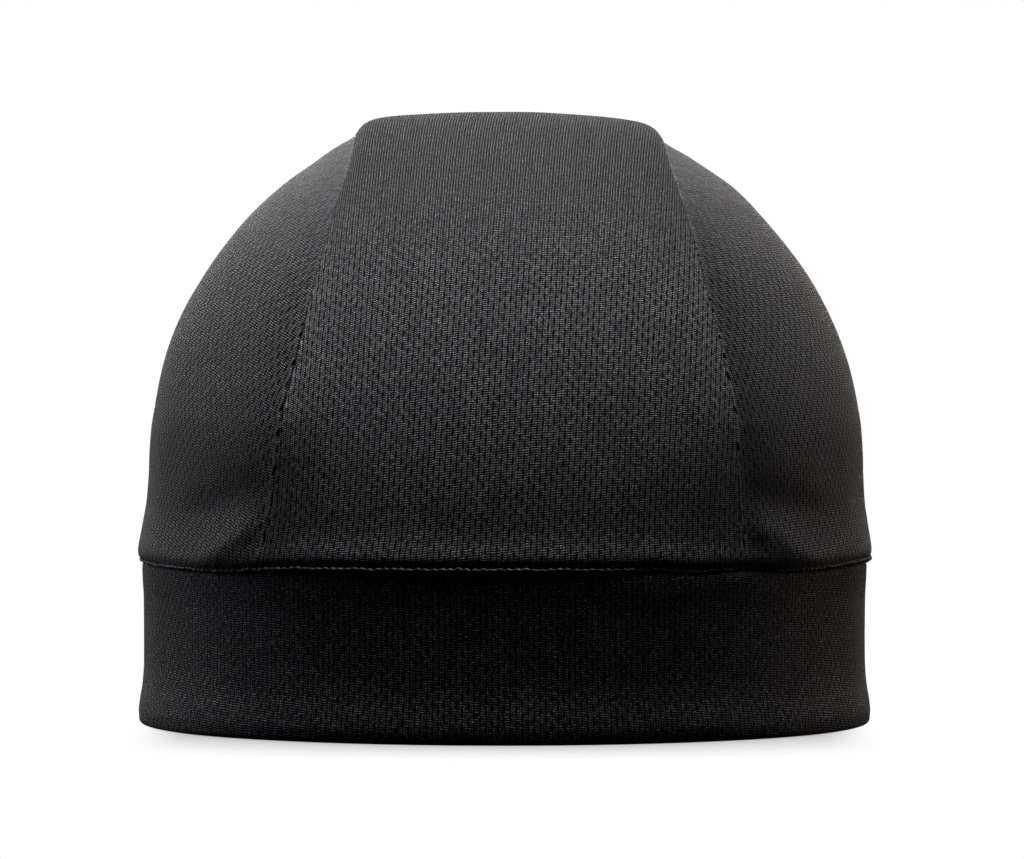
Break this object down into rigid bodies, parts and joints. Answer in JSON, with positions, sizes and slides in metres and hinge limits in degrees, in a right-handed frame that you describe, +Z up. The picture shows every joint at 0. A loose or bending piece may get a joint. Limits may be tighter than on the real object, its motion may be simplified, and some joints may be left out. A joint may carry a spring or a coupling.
{
  "type": "cooling beanie",
  "caption": "Close-fitting knit cooling beanie: a centre panel sewn between two side panels over a folded band, open below for the head.",
  "frame": {"origin": "on the surface that the cap stands on, under the middle of its box", "axes": "+Z up through the top of the crown, -Y to the front, +X to the right seen from the front"},
  "size_m": [0.1752, 0.1886, 0.1458],
  "materials": {
    "crown_knit": "matte black pique knit with open loops",
    "band_knit": "matte black pique knit, folded double"
  },
  "bodies": {
    "root": {"crown_center_panel": "crown_knit", "crown_side_panel_left": "crown_knit", "crown_side_panel_right": "crown_knit", "band": "band_knit"}
  },
  "joints": []
}
